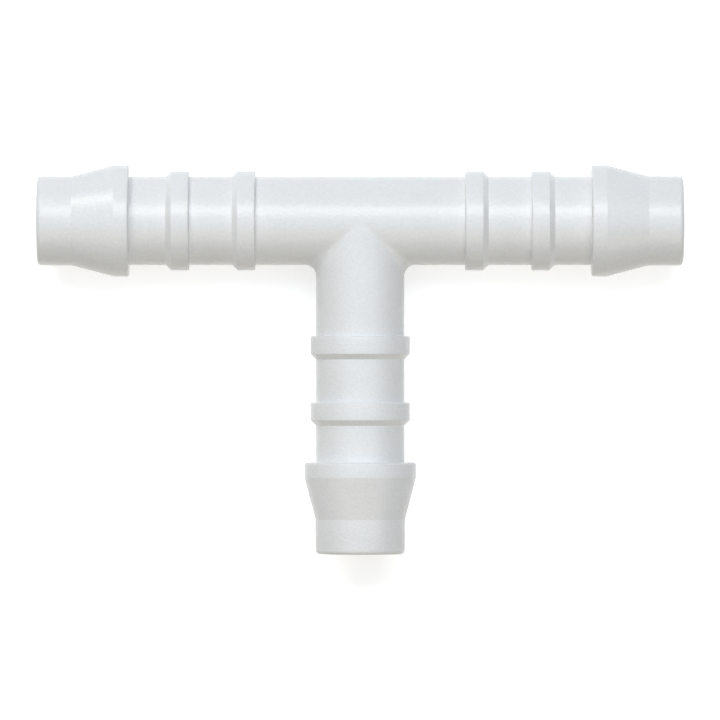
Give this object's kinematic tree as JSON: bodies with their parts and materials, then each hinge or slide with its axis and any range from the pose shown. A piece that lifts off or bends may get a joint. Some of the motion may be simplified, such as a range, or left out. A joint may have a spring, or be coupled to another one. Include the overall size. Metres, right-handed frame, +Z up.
{
  "type": "hose barb tee",
  "caption": "Moulded plastic tee that joins three hoses of the same size: a straight run and a branch, each ending in a cone-nosed barb with rings behind it.",
  "frame": {"origin": "where the axis of the run and the axis of the branch cross, inside the bore", "axes": "+X along the run, -Y along the branch towards its open end, +Z up, square to both, with the tee lying on its three barb crests"},
  "size_m": [0.0584, 0.0352, 0.01],
  "materials": {
    "white_plastic": "satin moulded plastic with a fine grain"
  },
  "bodies": {
    "root": {"tee": "white_plastic"}
  },
  "joints": []
}
